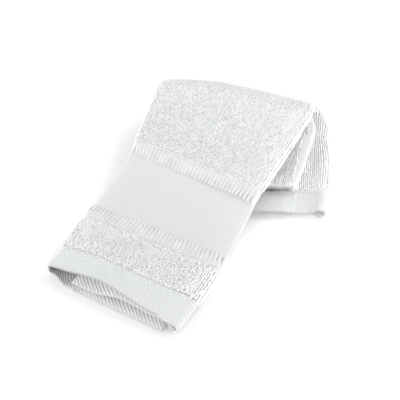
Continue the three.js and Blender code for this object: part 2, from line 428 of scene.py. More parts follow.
def orient(rows):
    """Adds each row's distances to the ends and the rear hem, and its directions."""
    middles = np.array([(row.left + row.right) / 2 for row in rows])
    runs = np.append(0, np.cumsum(norm(np.diff(middles, axis=0), axis=1)))
    rear_hem = next(i for i, row in enumerate(rows) if row.rear and row.weave == "hem")
    for i, row in enumerate(rows):
        row.run = runs[i]
        row.run_left = runs[-1] - runs[i]
        row.to_hem = runs[rear_hem] - runs[i]
        row.width = norm(row.right - row.left)
        row.across = (row.right - row.left) / row.width
        row.forward = unit(middles[min(i + 1, len(rows) - 1)] - middles[max(i - 1, 0)])
        row.up = unit(np.cross(row.across, row.forward))
    return rows


def fold_points(row, thickness, angles, radius, even):
    """Points round a side fold: x from 0 at its open side to 1 at its outermost place, and y
    from -1 to 1. A wide fold of the front panel is squared off where it isn't kept even."""
    at_end = smooth(1 - row.run / END_FOLD_LENGTH)
    wide = np.clip(SQUARING * radius / thickness - SQUARING, 0, 1)
    power = mix(1, mix(FOLD_POWER, END_FOLD_POWER, at_end), wide * (1 - row.rear))
    sines, cosines = np.sin(angles), np.cos(angles)
    squared = -np.sign(cosines) * np.abs(cosines) ** power
    return mix(sines**power, sines, even), mix(squared, -cosines, even)


def cross_section(row, thickness):
    """The cloth's centre line across the bundle, from one free selvedge round to the other:
    distances from the left edge, heights and shares of the reach along the strip. The bundle
    lies on its underside in front of the ridge and on its other face behind it."""
    lowest = -HALF_BUNDLE + thickness / 2
    highest = HALF_BUNDLE - thickness / 2 - 2 * row.spacing
    bottom = mix(lowest, highest, row.rear)
    top = bottom + 2 * row.spacing
    loose = smooth(1 - row.run / LOOSE_LENGTH)
    left_radius = (top - bottom) / 2
    right_radius = row.spacing * row.right_fold
    left_centre = left_radius + thickness / 2
    right_centre = row.width - right_radius - thickness / 2
    right_slope = FOLD_SLOPE * (1 - row.rear)
    left_slope = right_slope * smooth(row.run / FOLD_SLOPE_LENGTH)
    rear_slope = REAR_FOLD_SLOPE * smooth(row.rear * 2 - 1)

    def top_wave(a):
        return loose * arch(a / row.width / TOP_WAVE_END, TOP_CREST)

    def top_height(a):
        return top + TOP_WAVE * top_wave(a)

    shares = np.append(SELVEDGE_SHARES, np.linspace(EVEN_SHARES, 1, BOTTOM_STEPS))
    a_bottom = mix(row.width - row.bottom_inset, left_centre, shares)[:-1]
    bulge = BULGE * row.rear * (row.to_hem > 0) * smooth(1 - row.to_hem / BULGE_LENGTH)
    h_bottom = bottom - bulge * smooth((a_bottom - left_centre) / SIDE_RISE)

    turn = np.linspace(0, math.pi, LEFT_FOLD_STEPS + 1)[:-1]
    upper = turn > math.pi / 2
    x, y = fold_points(row, thickness, turn, left_radius, upper * left_slope / FOLD_SLOPE)
    a_left = left_centre - left_radius * x + left_slope * (1 - x) * upper
    h_left = mix(bottom, top_height(left_centre), (1 + y) / 2)
    a_top = np.linspace(left_centre + left_slope, right_centre - right_slope, TOP_STEPS + 1)[:-1]

    bend = np.linspace(0, math.pi, RIGHT_FOLD_STEPS + 1)[:-1]
    upper = bend < math.pi / 2
    x, y = fold_points(row, thickness, bend, right_radius, upper & (row.rear < 0.5))
    a_right = right_centre + right_radius * x - np.where(upper, right_slope, rear_slope) * (1 - x)
    h_right = top - right_radius * (1 + y)

    even = np.linspace(0, 1 - EVEN_SHARES, MIDDLE_STEPS)
    shares = np.append(even, 1 - np.flip(SELVEDGE_SHARES))
    a_middle = mix(right_centre - rear_slope, row.middle_inset, shares)
    tuck = smooth((a_middle / row.width - TUCK_START) / (TUCK_END - TUCK_START))
    lying = bottom + thickness + TUCK_GAP
    tucked = mix(lying, top_height(a_middle) - thickness - TUCK_GAP, tuck)
    to_fold = smooth(1 - (right_centre - a_middle) / mix(*DIP_LENGTH, row.rear))
    h_middle = mix(bottom + row.spacing, tucked, loose)
    h_middle = mix(h_middle, top - 2 * right_radius, to_fold)

    reach_bottom = smooth((a_bottom - left_centre) / mix(*REACH_RISE, row.rear))
    reach_middle = mix(MIDDLE_REACH * (1 - tuck) + FOLD_REACH * to_fold, 1, row.rear)
    corner = CORNER_REACH * row.rear
    reach_right = bend / math.pi * mix(FOLD_REACH, 1 - corner, row.rear) + corner
    reach_top = TOP_REACH * top_wave(a_top) * (1 - row.rear)
    reach_top = reach_top + corner * smooth((a_top - right_centre) / CORNER_LENGTH + 1)
    return (
        np.concatenate([a_bottom, a_left, a_top, a_right, a_middle]),
        np.concatenate([h_bottom, h_left, top_height(a_top), h_right, h_middle]),
        np.concatenate([reach_bottom, 0 * a_left, reach_top, reach_right, reach_middle]),
    )


# Column numbers at which the parts of the cross section start
FOLD_LEFT = len(SELVEDGE_SHARES) + BOTTOM_STEPS - 1
LAYER_TOP = FOLD_LEFT + LEFT_FOLD_STEPS
FOLD_RIGHT = LAYER_TOP + TOP_STEPS
LAYER_MIDDLE = FOLD_RIGHT + RIGHT_FOLD_STEPS


def unevenness(point, size, seed):
    """A soft wave from -1 to 1, which is the same each run."""
    return noise.noise(Vector(point) / size + Vector([step * seed for step in SEED_STEP]))


def flat_across(arc):
    """Where a row's points lie across the flat cloth. The top layer takes up the same width of
    it in every row, so that the warp runs along the folds."""
    top = arc[FOLD_RIGHT] - arc[FOLD_LEFT]
    across = arc - arc[FOLD_LEFT]
    on_top = np.clip(across, 0, top) * (TOP_LAYER / top)
    return on_top + np.minimum(across, 0) + np.maximum(across - top, 0)


class FoldedCloth:
    """Both faces of the folded cloth as grids of points, with their places on the flat cloth
    and their share of the bare selvedge."""

    def __init__(self, sizes):
        front = panel_rows(FRONT, FRONT_BANDS, False)
        rear = panel_rows(REAR, REAR_BANDS, True)
        self.rows = orient([*front, *ridge_rows(front[-1], rear[0]), *rear])
        names = (*WEAVES, "front_hem")
        self.thickness = {name: getattr(sizes, name + "_thickness") / MM for name in names}
        self.ground = {**self.thickness, "terry": self.thickness["terry"] - 2 * sizes.pile / MM}
        faces = [self.row_faces(row) for row in self.rows]
        grids = (np.array(grid) for grid in zip(*faces))
        self.outer, self.inner, self.across, self.selvedge = grids
        self.along = np.array([row.run for row in self.rows])
        self.rear = np.array([row.rear for row in self.rows])
        self.weave = np.array([row.weave for row in self.rows])
        self.centre_on(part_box("towel"))

    def row_faces(self, row):
        """The outer and the inner face along one row, where their points lie across the flat
        cloth, and their share of the selvedge."""
        thicker = row.weave == "hem" and not row.rear
        full = self.thickness["front_hem" if thicker else row.weave]
        a, h, reach = cross_section(row, full)
        da, dh = np.gradient(a), np.gradient(h)
        arc = np.append(0, np.cumsum(np.hypot(np.diff(a), np.diff(h))))
        length = np.hypot(da, dh)
        side = np.stack([dh / length, -da / length])

        at_front = smooth(1 - row.run / REACH_LENGTH)
        at_rear = smooth(1 - row.run_left / REACH_LENGTH)
        reach = reach * (FRONT_REACH * at_front - REAR_REACH * at_rear)
        to_selvedge = np.minimum(arc, arc[-1] - arc)
        bare = self.selvedge_share(row, to_selvedge)
        half = self.half_thickness(row, full, to_selvedge, bare)
        if row.rear and row.weave == "hem":
            pressed = smooth(1 - arc / PRESSED_EDGE)
            h = h + (row.spacing - half - PRESSED_SHARE * half - PRESSED_GAP) * pressed
            half = half * mix(1, PRESSED_SHARE, pressed)
        shift = self.puckers(row, a, h)
        crown = row.crown * arch(np.clip(a / row.width, 0, 1), CROWN_CREST)

        def place(offset):
            x = a + side[0] * offset
            z = h + side[1] * offset + crown
            plan = row.left + np.outer(x, row.across) - np.outer(reach, row.forward)
            return plan + np.outer(z, row.up)

        outer = place(shift - half) + np.outer(self.lip(row, a), row.forward)
        return outer, place(shift + half), flat_across(arc), bare

    def lip(self, row, a):
        """How far the terry of the rear panel's upper layer hangs over its hem."""
        hangs = row.rear > 0 and row.weave == "terry"
        upper = np.arange(len(a)) < FOLD_LEFT
        inside = smooth((a - row.spacing) / SIDE_RISE) * upper
        return LIP * smooth(1 - row.to_hem / LIP_LENGTH) * inside * hangs

    def half_thickness(self, row, full, to_selvedge, bare):
        """Half the cloth's thickness under its loops, rounded off at its free edges. The bare
        selvedges are as thick as the terry with its loops."""
        ground = full if row.weave == "hem" else self.ground[row.weave]
        ends = rounded(min(row.run, row.run_left), full / 2)
        return mix(ground, full, bare) / 2 * rounded(to_selvedge, full / 2) * ends

    def selvedge_share(self, row, to_selvedge):
        """1 on the bare strip along a selvedge and 0 away from it. It widens to the ridge."""
        behind = (row.run_left - GROWTH_START) / GROWTH_LENGTH
        width = mix(*SELVEDGE_WIDTH, row.rear) + SELVEDGE_GROWTH * row.rear * smooth(behind)
        return 1 - smooth((to_selvedge - width) / SELVEDGE_FADE)

    def puckers(self, row, a, h):
        """How far the cloth lies off its even form, along its normal."""
        height = PUCKER_HEIGHTS[row.weave]
        places = [(x, z * PUCKER_SQUASH, row.run) for x, z in zip(a, h)]
        return sum(
            share * height * np.array([unevenness(place, size, seed) for place in places])
            for size, seed, share in PUCKER_WAVES
        )

    def centre_on(self, box):
        """Moves the cloth so that its box has the same middle in plan as the solid's."""
        faces = np.stack([self.outer, self.inner])
        middle = (faces.min((0, 1, 2)) + faces.max((0, 1, 2))) / 2
        shift = (np.array((box[0] + box[1]) / 2) / MM - middle) * (1, 1, 0)
        self.outer += shift
        self.inner += shift
        self.outer[..., 2] = np.maximum(self.outer[..., 2], FLOOR_GAP)

    def normals(self):
        return unit(self.outer - self.inner)

    def bands(self, weave):
        """The numbers of the rows of each band of a weave."""
        rows = np.flatnonzero(self.weave == weave)
        return np.split(rows, np.flatnonzero(np.diff(rows) > 1) + 1)


def new_object(name, data):
    piece = bpy.data.objects.new(name, data)
    bpy.context.scene.collection.objects.link(piece)
    return piece


def new_mesh_object(name, points, faces=()):
    mesh = bpy.data.meshes.new(name)
    mesh.from_pydata([tuple(point) for point in points], [], faces)
    return new_object(name, mesh)


def set_attribute(mesh, name, values):
    """Keeps a number or a vector for each point of a mesh."""
    values = np.asarray(values, np.float32).ravel()
    single = len(values) == len(mesh.vertices)
    kind, field = ("FLOAT", "value") if single else ("FLOAT_VECTOR", "vector")
    mesh.attributes.new(name, kind, "POINT").data.foreach_set(field, values)


def cloth_mesh(cloth):
    """The sheet as one closed mesh, with its UV map in millimetres of flat cloth."""
    rows, columns = cloth.across.shape
    outer = np.arange(rows * columns).reshape(rows, columns)
    inner = outer + rows * columns
    end, last = rows - 1, columns - 1
    faces, corners = [], []

    def add(*around, back=False):
        """Adds a face from its corners, each a layer's numbers, a row and a column."""
        faces.append([int(layer[r, c]) for layer, r, c in around])
        along = -cloth.along if back else cloth.along
        corners.extend((cloth.across[r, c], along[r]) for _, r, c in around)

    for r in range(end):
        s = r + 1
        for c in range(last):
            d = c + 1
            add((outer, r, c), (outer, r, d), (outer, s, d), (outer, s, c))
            add((inner, r, d), (inner, r, c), (inner, s, c), (inner, s, d), back=True)
        add((outer, r, 0), (outer, s, 0), (inner, s, 0), (inner, r, 0))
        add((inner, r, last), (inner, s, last), (outer, s, last), (outer, r, last))
    for c in range(last):
        d = c + 1
        add((inner, 0, c), (inner, 0, d), (outer, 0, d), (outer, 0, c))
        add((outer, end, c), (outer, end, d), (inner, end, d), (inner, end, c))

    points = np.concatenate([cloth.outer.reshape(-1, 3), cloth.inner.reshape(-1, 3)]) * MM
    piece = new_mesh_object("towel_cloth", points, faces)
    mesh = piece.data
    uv = mesh.uv_layers.new(name="Flat cloth")
    uv.data.foreach_set("uv", np.array(corners, np.float32).ravel())
    shares = {name: np.repeat(cloth.weave == name, columns) for name in WEAVES}
    shares |= {"crease": creases(cloth), "rim": rims(cloth), "open_ground": open_ground(cloth)}
    shares |= {"hollow": hollows(cloth), "selvedge": cloth.selvedge}
    for name, share in shares.items():
        set_attribute(mesh, name, np.tile(share.ravel(), 2))
    set_attribute(mesh, "back", np.repeat([0.0, 1.0], rows * columns))
    mesh.shade_smooth()
    return piece


def creases(cloth):
    """Painted shade in the crease under the rear lip, which fades towards the side."""
    crease = np.zeros(cloth.across.shape)
    for r, row in enumerate(cloth.rows):
        dark = row.rear * (row.weave == "hem") * smooth(1 + row.to_hem / CREASE_WIDTH)
        to_side = cloth.across[r, :FOLD_LEFT] - cloth.across[r, 0]
        crease[r, :FOLD_LEFT] = dark * smooth((to_side - CREASE_INSET) / CREASE_FADE)
    return crease


def rims(cloth):
    """Painted shade on the rims of both ends, much less where the front one bends round."""
    to_end = np.array([min(row.run, row.run_left) for row in cloth.rows])
    share = np.repeat(1 - smooth(to_end / RIM_WIDTH)[:, None], cloth.across.shape[1], axis=1)
    for bend in (slice(FOLD_LEFT - BEND_COLUMNS, LAYER_TOP), slice(FOLD_RIGHT, LAYER_MIDDLE)):
        share[: len(share) // 2, bend] *= BENT_RIM
    return share


def open_ground(cloth):
    """The share of painted shade on the ground between loops or ribs: full on top of the front
    panel, less on the rear one, and none in the side folds, where painted light pales the ground."""
    slant = np.abs(unit(np.gradient(cloth.outer, axis=1))[..., 2])
    behind = mix(1, REAR_GROOVE_SHADE, smooth(cloth.rear * 2 - 1))[:, None]
    share = (1 - smooth((slant - GROOVE_SHADE_SLANT) / SLANT_FADE)) * behind
    for r in range(EDGE_ROWS, len(share) - EDGE_ROWS):
        if len(set(cloth.weave[r - EDGE_ROWS : r + EDGE_ROWS + 1])) > 1:
            share[r] = np.maximum(share[r], EDGE_GROOVE_SHADE)
    return share


def hollows(cloth):
    """The shade inside the left fold, for the back of the cloth."""
    fold, top = cloth.across[:, FOLD_LEFT, None], cloth.across[:, LAYER_TOP, None]
    beyond = np.maximum(fold - cloth.across, cloth.across - top)
    return smooth(1 - beyond / HOLLOW_WIDTH) * (1 - cloth.rear)[:, None]


# Geometry and shader nodes


def both_ways(operation):
    """An operator of a socket and its reflected form."""
    return (
        lambda socket, other: socket.math(operation, socket, other),
        lambda socket, other: socket.math(operation, other, socket),
    )


class Socket:
    """A node's output that takes arithmetic, so that a formula on it reads as one."""

    __add__, __radd__ = both_ways("ADD")
    __sub__, __rsub__ = both_ways("SUBTRACT")
    __mul__, __rmul__ = both_ways("MULTIPLY")
    __truediv__, __rtruediv__ = both_ways("DIVIDE")
    __pow__, __rpow__ = both_ways("POWER")

    def __init__(self, graph, output):
        self.graph = graph
        self.output = output

    def math(self, operation, *values):
        return self.graph.add("ShaderNodeMath", dict(enumerate(values)), operation=operation)[0]

    def sin(self):
        return self.math("SINE", self)

    def clamp(self):
        """The value, kept from 0 to 1."""
        return self.math("MAXIMUM", self.math("MINIMUM", self, 1.0), 0.0)


class Made:
    """The outputs of a new node, by name or by number."""

    def __init__(self, graph, node):
        self.graph = graph
        self.node = node

    def __getitem__(self, key):
        return Socket(self.graph, self.node.outputs[key])


class Graph:
    """Adds nodes to a tree and joins them."""

    def __init__(self, tree):
        self.tree = tree

    def add(self, kind, inputs=None, **settings):
        """A new node with its settings, and with values or links in its sockets."""
        node = self.tree.nodes.new(kind)
        for name, value in settings.items():
            setattr(node, name, value)
        for key, value in (inputs or {}).items():
            if isinstance(value, Socket):
                self.tree.links.new(value.output, node.inputs[key])
            else:
                node.inputs[key].default_value = value
        return Made(self, node)


def new_geometry_tree(name, sizes):
    """A Geometry Nodes tree with a named input for each size, and its group input."""
    tree = bpy.data.node_groups.new(name, "GeometryNodeTree")
    kinds = {"Geometry": "Geometry", **dict.fromkeys(sizes, "Float")}
    for label, kind in {**kinds, "Seed": "Int", "Material": "Material"}.items():
        tree.interface.new_socket(label, in_out="INPUT", socket_type="NodeSocket" + kind)
    tree.interface.new_socket("Geometry", in_out="OUTPUT", socket_type="NodeSocketGeometry")
    graph = Graph(tree)
    return tree, graph, graph.add("NodeGroupInput")


def stored(graph, name, kind="FLOAT_VECTOR"):
    """What a guide's points carry under a name."""
    node = graph.add("GeometryNodeInputNamedAttribute", {"Name": name}, data_type=kind)
    return node["Attribute"]


def stand_on_points(graph, given, shape, turns, scale):
    """Stands a smooth shape on each point, with +Z along its normal and +X along the strip,
    turned at random by up to the angles given, and finishes the tree."""
    soft = graph.add("GeometryNodeSetShadeSmooth", {"Geometry": shape})["Geometry"]
    kind = "FunctionNodeAlignRotationToVector"
    upright = graph.add(kind, {"Vector": stored(graph, "outward")}, axis="Z")
    inputs = {"Rotation": upright["Rotation"], "Vector": stored(graph, "forward")}
    facing = graph.add(kind, inputs, axis="X", pivot_axis="Z")
    limits = {0: [-angle for angle in turns], 1: turns, "Seed": given["Seed"]}
    turn = graph.add("FunctionNodeRandomValue", limits, data_type="FLOAT_VECTOR")
    turned = graph.add("FunctionNodeEulerToRotation", {"Euler": turn[0]})
    inputs = {"Rotation": facing["Rotation"], "Rotate By": turned["Rotation"]}
    rotation = graph.add("FunctionNodeRotateRotation", inputs, rotation_space="LOCAL")
    inputs = {"Points": given["Geometry"], "Instance": soft, "Rotation": rotation["Rotation"]}
    standing = graph.add("GeometryNodeInstanceOnPoints", {**inputs, "Scale": scale})
    real = graph.add("GeometryNodeRealizeInstances", {"Geometry": standing["Instances"]})
    inputs = {"Geometry": real["Geometry"], "Material": given["Material"]}
    dyed = graph.add("GeometryNodeSetMaterial", inputs)
    graph.add("NodeGroupOutput", {"Geometry": dyed["Geometry"]})


def circle(graph, sides, radius):
    inputs = {"Resolution": sides, "Radius": radius}
    return graph.add("GeometryNodeCurvePrimitiveCircle", inputs)["Curve"]


def transformed(graph, geometry, **changes):
    node = graph.add("GeometryNodeTransform", {"Geometry": geometry, **changes})
    return node["Geometry"]


def scaled(graph, geometry, x, y, z):
    scale = graph.add("ShaderNodeCombineXYZ", {"X": x, "Y": y, "Z": z})["Vector"]
    return transformed(graph, geometry, Scale=scale)


def pile_tree():
    """Terry loops: an arch of yarn on each point, each a little different."""
    sizes = ("Loop length", "Loop height", "Yarn radius", "Loop unevenness")
    tree, graph, given = new_geometry_tree("Terry pile", sizes)
    inputs = {"Resolution": LOOP_POINTS, "Radius": 1.0, "Start Angle": 0.0, "Sweep Angle": math.pi}
    arc = graph.add("GeometryNodeCurveArc", inputs, mode="RADIUS")["Curve"]
    arc = scaled(graph, arc, given["Loop length"] * 0.5, given["Loop height"], 1.0)
    upright = transformed(graph, arc, Rotation=(math.pi / 2, 0, 0))
    yarn = circle(graph, YARN_SIDES, given["Yarn radius"])
    tube = graph.add("GeometryNodeCurveToMesh", {"Curve": upright, "Profile Curve": yarn})["Mesh"]
    spread = given["Loop unevenness"]
    inputs = {2: 1 - spread, 3: 1 + spread, "Seed": given["Seed"] + SIZE_SEED}
    chance = graph.add("FunctionNodeRandomValue", inputs, data_type="FLOAT")
    scale = chance[1] * stored(graph, "size", "FLOAT")
    stand_on_points(graph, given, tube, LOOP_TURN, scale)
    return tree


def rib_tree():
    """A raised rib of the border on each point: a soft bar along the strip."""
    sizes = ("Rib length", "Rib width", "Rib height")
    tree, graph, given = new_geometry_tree("Border ribs", sizes)
    half = given["Rib length"] * 0.5
    start = graph.add("ShaderNodeCombineXYZ", {"X": half * -1})["Vector"]
    end = graph.add("ShaderNodeCombineXYZ", {"X": half})["Vector"]
    line = graph.add("GeometryNodeCurvePrimitiveLine", {"Start": start, "End": end})["Curve"]
    stepped = graph.add("GeometryNodeResampleCurve", {"Curve": line, "Count": RIB_POINTS})
    along = graph.add("GeometryNodeSplineParameter")["Factor"]
    taper = (1 - (along * 2 - 1) ** RIB_BLUNTNESS).clamp() ** 0.5
    inputs = {"Curve": stepped["Curve"], "Radius": taper * (1 - RIB_TIP) + RIB_TIP}
    tapered = graph.add("GeometryNodeSetCurveRadius", inputs)["Curve"]
    profile = circle(graph, RIB_SIDES, given["Rib width"] * 0.5)
    inputs = {"Curve": tapered, "Profile Curve": profile, "Fill Caps": True}
    bar = graph.add("GeometryNodeCurveToMesh", inputs)["Mesh"]
    pressed = scaled(graph, bar, 1.0, 1.0, given["Rib height"] * 2 / given["Rib width"])
    stand_on_points(graph, given, pressed, RIB_TURN, (1.0, 1.0, 1.0))
    return tree


def guide_points(name, points, outward, forward, size):
    """Loose points that carry directions and sizes for a Geometry Nodes tree."""
    piece = new_mesh_object(name, np.asarray(points) * MM)
    for label, values in (("outward", outward), ("forward", forward), ("size", size)):
        set_attribute(piece.data, label, values)
    return piece


def grow_on(piece, tree, sizes, seed, material):
    """Runs a Geometry Nodes tree on a piece and keeps its result as a plain mesh. The tree's
    inputs have the names of the sizes."""
    modifier = piece.modifiers.new(tree.name, "NODES")
    modifier.node_group = tree
    for item in tree.interface.items_tree:
        if item.in_out == "INPUT" and item.name != "Geometry":
            given = {"Seed": seed, "Material": material}.get(item.name)
            own = item.name.lower().replace(" ", "_")
            modifier[item.identifier] = getattr(sizes, own) if given is None else given
    depsgraph = bpy.context.evaluated_depsgraph_get()
    made = bpy.data.meshes.new_from_object(piece.evaluated_get(depsgraph), depsgraph=depsgraph)
    piece.modifiers.clear()
    piece.data = made
    made.name = piece.name
    finish_piece(piece, material)


# Materials


def new_material(name):
    material = bpy.data.materials.new(name)
    material.use_nodes = True
    material.node_tree.nodes.clear()
    return material, Graph(material.node_tree)


def surface(graph, inputs):
    shader = graph.add("ShaderNodeBsdfPrincipled", inputs)
    graph.add("ShaderNodeOutputMaterial", {"Surface": shader["BSDF"]})


def cotton(graph, colour, height, depth, sheen):
    """Matt cotton: a coloured, bumped and slightly hairy surface."""
    bump = graph.add("ShaderNodeBump", {"Strength": 1.0, "Distance": depth, "Height": height})
    inputs = {"Base Color": colour, "Roughness": 0.92, "Specular IOR Level": 0.25}
    inputs |= {"Sheen Weight": sheen, "Sheen Roughness": 0.6, "Normal": bump["Normal"]}
    surface(graph, inputs)


def clouds(graph, scale, detail):
    """Soft noise on the piece's own coordinates, from 0 to 1."""
    place = graph.add("ShaderNodeTexCoord")["Object"]
    inputs = {"Vector": place, "Scale": scale, "Detail": detail}
    return graph.add("ShaderNodeTexNoise", inputs)["Fac"]


def shade_between(graph, share, low, high):
    """A colour between two, by a share from 0 to 1."""
    inputs = {"Factor": share, "A": low, "B": high}
    return graph.add("ShaderNodeMix", inputs, data_type="RGBA")[2]


def cloth_material(sizes, finish):
    """Twill on the hems, plain weave on the smooth band, and ground under loops and ribs."""
    material, graph = new_material("cotton_cloth")
    mask = SimpleNamespace()
    for name in (*WEAVES, "selvedge", "crease", "rim", "open_ground", "hollow", "back"):
        setattr(mask, name, graph.add("ShaderNodeAttribute", attribute_name=name)["Fac"])
    flat = graph.add("ShaderNodeUVMap", uv_map="Flat cloth")
    parts = graph.add("ShaderNodeSeparateXYZ", {"Vector": flat["UV"]})
    u, v = parts["X"], parts["Y"]
    fibres, patches = clouds(graph, CLOTH_FIBRES, 3.0), clouds(graph, CLOTH_PATCHES, 2.0)

    pitch, lean = sizes.twill_pitch / MM, sizes.twill_angle
    phase = (u * math.sin(lean) + v * math.cos(lean)) * (2 * math.pi / pitch)
    wander = (patches - 0.5) * WANDER.patches + (fibres - 0.5) * WANDER.fibres
    twill = (phase + wander).sin() * 0.5 + 0.5
    thread = 2 * math.pi / (sizes.plain_pitch / MM)
    plain = ((u * thread).sin() * (v * thread).sin()) * 0.5 + 0.5
    height = (
        mask.hem * twill * RELIEF.twill
        + mask.smooth * (plain * RELIEF.plain + fibres * RELIEF.fibres)
        + (mask.terry + mask.ribs) * fibres
    )

    on_smooth = (fibres - 0.5) * CONTRAST.fibres + (plain - 0.5) * CONTRAST.plain
    # Painted shade: grooves between loops, ribs and weave lines take the dark groove colour
    lit = (
        mask.hem * (LIGHT.hem + twill * CONTRAST.twill + fibres * CONTRAST.hem_fibres)
        + mask.smooth * (LIGHT.smooth + on_smooth)
        + mask.terry * (fibres * LIGHT.terry)
        + mask.ribs * LIGHT.ribs
    ).clamp()
    # Painted light: selvedges, side folds, the rear panel's ground and the hems' back face are
    # paled
    closed = 1 - mask.open_ground
    pale = (
        mask.terry * (mask.selvedge + closed) + mask.ribs * closed + mask.hem * mask.back
    ).clamp()
    # Painted shade in the rear crease, on the rims of both ends and in the left fold's hollow
    shaded = (
        mask.crease * (patches * SHADE.crease - SHADE.crease_cut)
        + mask.rim * SHADE.rim
        + mask.hollow * mask.back * SHADE.hollow
    ).clamp()
    colour = shade_between(graph, lit, finish.groove_shade_and_yarn_colour[:], finish.cotton_colour[:])
    colour = shade_between(graph, pale, colour, finish.painted_light_colour[:])
    colour = shade_between(graph, shaded, colour, finish.painted_shade_colour[:])
    cotton(graph, colour, height, CLOTH_BUMP, finish.sheen)
    return material


def yarn_material(name, dark, light, scale, depth, sheen):
    """Loose yarn of the loops or the ribs, with fine hairs and slight shade changes."""
    material, graph = new_material(name)
    hairs, patches = clouds(graph, scale, 3.0), clouds(graph, YARN_PATCHES, 2.0)
    uneven = (hairs - 0.5) * YARN.hairs + (patches - 0.5) * YARN.patches
    lit = (YARN.light + uneven).clamp()
    colour = shade_between(graph, lit, dark[:], light[:])
    cotton(graph, colour, hairs, depth, sheen)
    return material


# Settings


def number(name, description, default, **kind):
    return bpy.props.FloatProperty(name=name, description=description, default=default, **kind)


def length(name, description, millimetres):
    return number(name, description, millimetres * MM, unit="LENGTH")


def angle(name, description, degrees):
    return number(name, description, math.radians(degrees), subtype="ANGLE", unit="ROTATION")


def tint(name, description, *rgb):
    return bpy.props.FloatVectorProperty(
        name=name, description=description, size=4, subtype="COLOR", default=(*rgb, 1.0)
    )


class TowelSizes(bpy.types.PropertyGroup):
    hem_thickness: length("Hem", "Thickness of the turned twill hem", 1.5)
    front_hem_thickness: length("Front hem", "Thickness of the looser hem at the front end", 2.1)
    terry_thickness: length("Terry", "Thickness of the terry with its loops on both faces", 3.0)
    ribs_thickness: length("Ribbed border", "Thickness of the ribbed borders' ground", 2.0)
    smooth_thickness: length("Smooth band", "Thickness of the smooth woven band", 1.8)
    pile: length("Pile", "How far the loops stand out of the ground on each face", 0.5)
    loop_length: length("Loop length", "Length of a loop's foot", 1.9)
    loop_height: length("Loop height", "Height of a loop over the ground", 0.45)
    yarn_radius: length("Yarn radius", "Radius of the pile yarn", 0.6)
    loop_unevenness: number("Loop unevenness", "How much loops differ", 0.18, subtype="FACTOR")
    rib_pitch: length("Rib pitch", "Distance from one rib of the border to the next", 3.2)
    rib_width: length("Rib width", "Width of one rib", 2.7)
    rib_height: length("Rib height", "How far a rib stands out of the ground", 0.38)
    rib_length: length("Rib length", "Length of a rib along the strip", 11.8)
    twill_pitch: length("Twill pitch", "Distance between two diagonal lines of the hem", 2.06)
    twill_angle: angle("Twill angle", "Angle of the hem's lines to the towel's edge", 39)
    plain_pitch: length("Plain weave pitch", "Repeat of the threads in the smooth band", 1.1)


class TowelFinish(bpy.types.PropertyGroup):
    cotton_colour: tint("Cotton", "The woven cotton at its lightest", 0.64, 0.656, 0.651)
    # Painted shade in the cloth's grooves; also the darker tone of the ribs' yarn
    groove_shade_and_yarn_colour: tint("Grooves", "Between ribs, loops and twill lines", 0.51, 0.525, 0.52)
    loop_colour: tint("Loops", "The pile's loops where they are lightest", 0.86, 0.872, 0.868)
    loop_shade_colour: tint("Loop shade", "The loops at their darkest", 0.71, 0.723, 0.718)
    # Painted shade in the rear crease, on the end rims and inside the left fold
    painted_shade_colour: tint("Crease", "Deep in the crease over the rear hem", 0.07, 0.073, 0.072)
    rib_colour: tint("Ribs", "The borders' ribs at their lightest", 0.68, 0.692, 0.688)
    # Painted light: paler ground on selvedges, in side folds, on the rear panel and on the hems'
    # back
    painted_light_colour: tint("Edges", "Selvedges, and the ground in side folds", 0.76, 0.773, 0.768)
    sheen: number("Sheen", "Light caught by fine hairs at grazing angles", 0.12, subtype="FACTOR")


class StudioSettings(bpy.types.PropertyGroup):
    camera_azimuth: angle("Camera azimuth", "Direction of the camera round the towel", 27.3)
    camera_elevation: angle("Camera elevation", "Height of the camera above the horizon", 47.8)
    camera_distance: length("Camera distance", "From the camera to its target", 913)
    camera_target: bpy.props.FloatVectorProperty(
        name="Camera target",
        description="Point on the surface that the camera looks at",
        default=(-0.01094, 0.00465, 0.0),
        subtype="TRANSLATION",
        unit="LENGTH",
    )
    lens: number("Lens", "Focal length in millimetres", 108.3)
    sky: number("Sky", "Strength of the even light from all round", 0.46)
    floor_colour: tint("Floor", "Colour of the surface under the towel", 0.88, 0.88, 0.88)


# Operators


def settings():
    scene = bpy.context.scene
    return scene.towel_sizes, scene.towel_finish, scene.towel_studio


def finish_piece(piece, material):
    """Gives a piece its material and its body."""
    if not piece.data.materials:
        piece.data.materials.append(material)
    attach(piece, "root")


class TOWEL_OT_cloth(bpy.types.Operator):
    """Make the folded cloth with its hems, bands and rounded selvedges"""

    bl_idname = "towel.cloth"
    bl_label = "Folded cloth"

    def execute(self, context):
        sizes, finish, _ = settings()
        piece = cloth_mesh(FoldedCloth(sizes))
        finish_piece(piece, cloth_material(sizes, finish))
        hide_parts("towel")
        return {"FINISHED"}


class TOWEL_OT_pile(bpy.types.Operator):
    """Stand the terry loops on the outer face of the cloth"""

    bl_idname = "towel.pile"
    bl_label = "Terry pile"

    def execute(self, context):
        sizes, finish, _ = settings()
        shades = finish.loop_shade_colour, finish.loop_colour
        material = yarn_material("cotton_loops", *shades, LOOP_HAIRS, LOOP_BUMP, finish.sheen)
        tree = pile_tree()
        *fields, part = pile_points(FoldedCloth(sizes))
        for number, name in enumerate(PILE_PIECES):
            guide = guide_points(name, *(field[part == number] for field in fields))
            grow_on(guide, tree, sizes, LOOP_SEED + number, material)
        return {"FINISHED"}


